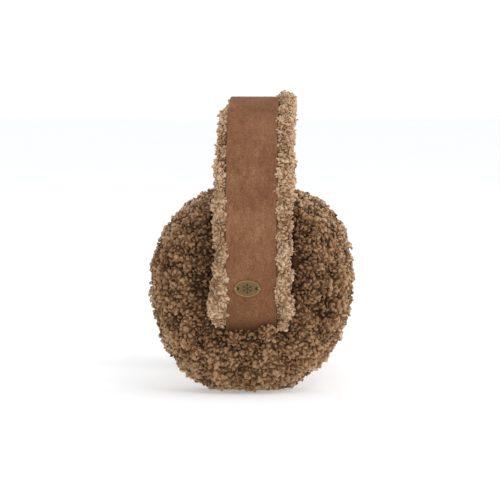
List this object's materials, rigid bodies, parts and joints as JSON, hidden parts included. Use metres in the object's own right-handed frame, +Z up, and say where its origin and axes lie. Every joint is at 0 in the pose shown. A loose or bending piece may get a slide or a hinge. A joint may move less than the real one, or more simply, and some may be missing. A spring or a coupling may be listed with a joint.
{
  "type": "fur earmuffs",
  "caption": "Curly brown wool earmuffs: round pads on a sprung wool-edged headband with a smooth suede strap and a small oval brass plate.",
  "frame": {"origin": "middle of the footprint, on the ground the pads stand on", "axes": "+X towards the right ear along the ear axis, +Y towards the back of the head, +Z up to the crown"},
  "size_m": [0.1678, 0.1312, 0.1896],
  "materials": {
    "suede": "fine napped suede, soft and even",
    "trim_wool": "soft short curled wool, lighter than the pads",
    "pad_wool": "tight curled wool, dark between the curls",
    "brass": "antiqued, darker in the field than on the rim"
  },
  "bodies": {
    "root": {"headband_strap": "suede", "headband_sheath": "trim_wool", "ear_pad_cover_right": "pad_wool", "ear_pad_cover_left": "pad_wool", "ear_pad_ear_side_right": "pad_wool", "ear_pad_ear_side_left": "pad_wool", "badge_plate": "brass"}
  },
  "joints": []
}
